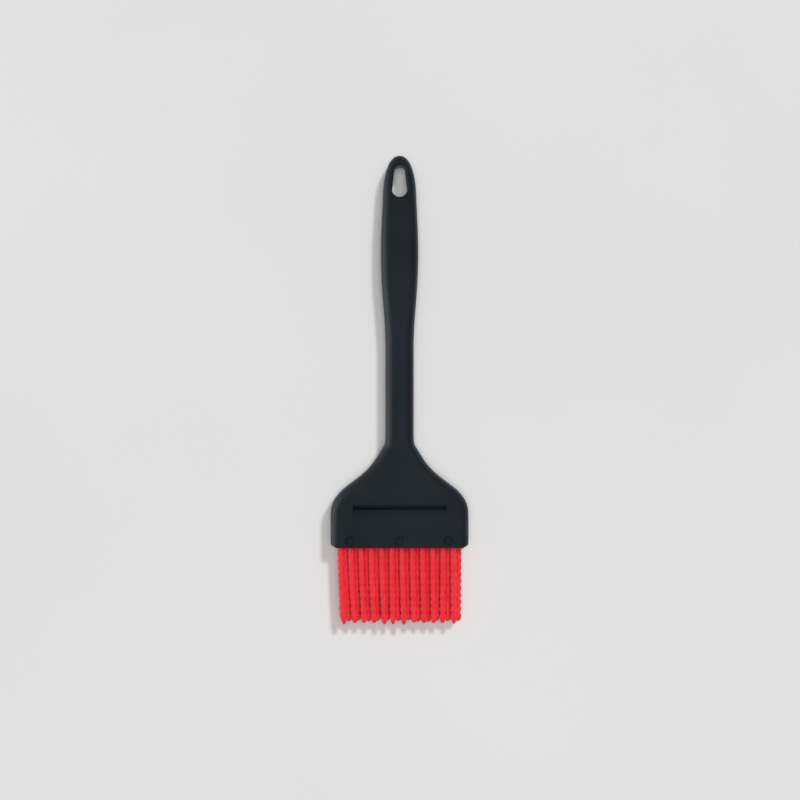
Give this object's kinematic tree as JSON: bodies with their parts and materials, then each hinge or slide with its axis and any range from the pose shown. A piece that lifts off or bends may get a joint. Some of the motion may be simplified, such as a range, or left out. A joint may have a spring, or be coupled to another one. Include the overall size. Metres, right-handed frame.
{
  "type": "pastry brush",
  "caption": "Flat-headed pastry brush: a dark nylon handle with a hanging hole and a rim notch, and flexible beaded silicone bristle rows pinned in a pocket in its head.",
  "frame": {"origin": "middle of the brush's footprint, on the surface that its back lies on", "axes": "+Y from the bristle tips to the hanging end, +X across the head, +Z out of the front face, the one with the notch"},
  "size_m": [0.0848, 0.289, 0.0184],
  "materials": {
    "handle_nylon": "satin, fine moulded grain",
    "silicone": "soft satin, slightly translucent",
    "pin_nylon": "satin"
  },
  "bodies": {
    "handle": {"handle": "handle_nylon", "comb_1_root": "silicone", "comb_2_root": "silicone", "comb_3_root": "silicone", "comb_4_root": "silicone", "pin_left": "pin_nylon", "pin_middle": "pin_nylon", "pin_right": "pin_nylon"},
    "comb_1": {"comb_1_bristles": "silicone"},
    "comb_2": {"comb_2_bristles": "silicone"},
    "comb_3": {"comb_3_bristles": "silicone"},
    "comb_4": {"comb_4_bristles": "silicone"}
  },
  "joints": [
    {"name": "comb_1_flex", "type": "hinge", "parent": "handle", "child": "comb_1", "pos_m": [0, -0.097, 0.01415], "axis": [1, 0, 0], "range_deg": [-30, 30], "stiffness_Nm_per_rad": 0.06},
    {"name": "comb_2_flex", "type": "hinge", "parent": "handle", "child": "comb_2", "pos_m": [0, -0.097, 0.01085], "axis": [1, 0, 0], "range_deg": [-30, 30], "stiffness_Nm_per_rad": 0.06},
    {"name": "comb_3_flex", "type": "hinge", "parent": "handle", "child": "comb_3", "pos_m": [0, -0.097, 0.00755], "axis": [1, 0, 0], "range_deg": [-30, 30], "stiffness_Nm_per_rad": 0.06},
    {"name": "comb_4_flex", "type": "hinge", "parent": "handle", "child": "comb_4", "pos_m": [0, -0.097, 0.00425], "axis": [1, 0, 0], "range_deg": [-30, 30], "stiffness_Nm_per_rad": 0.06}
  ],
  "couplings": [
    {"joint": "comb_2_flex", "follows": "comb_1_flex", "ratio": 1},
    {"joint": "comb_3_flex", "follows": "comb_1_flex", "ratio": 1},
    {"joint": "comb_4_flex", "follows": "comb_1_flex", "ratio": 1}
  ]
}
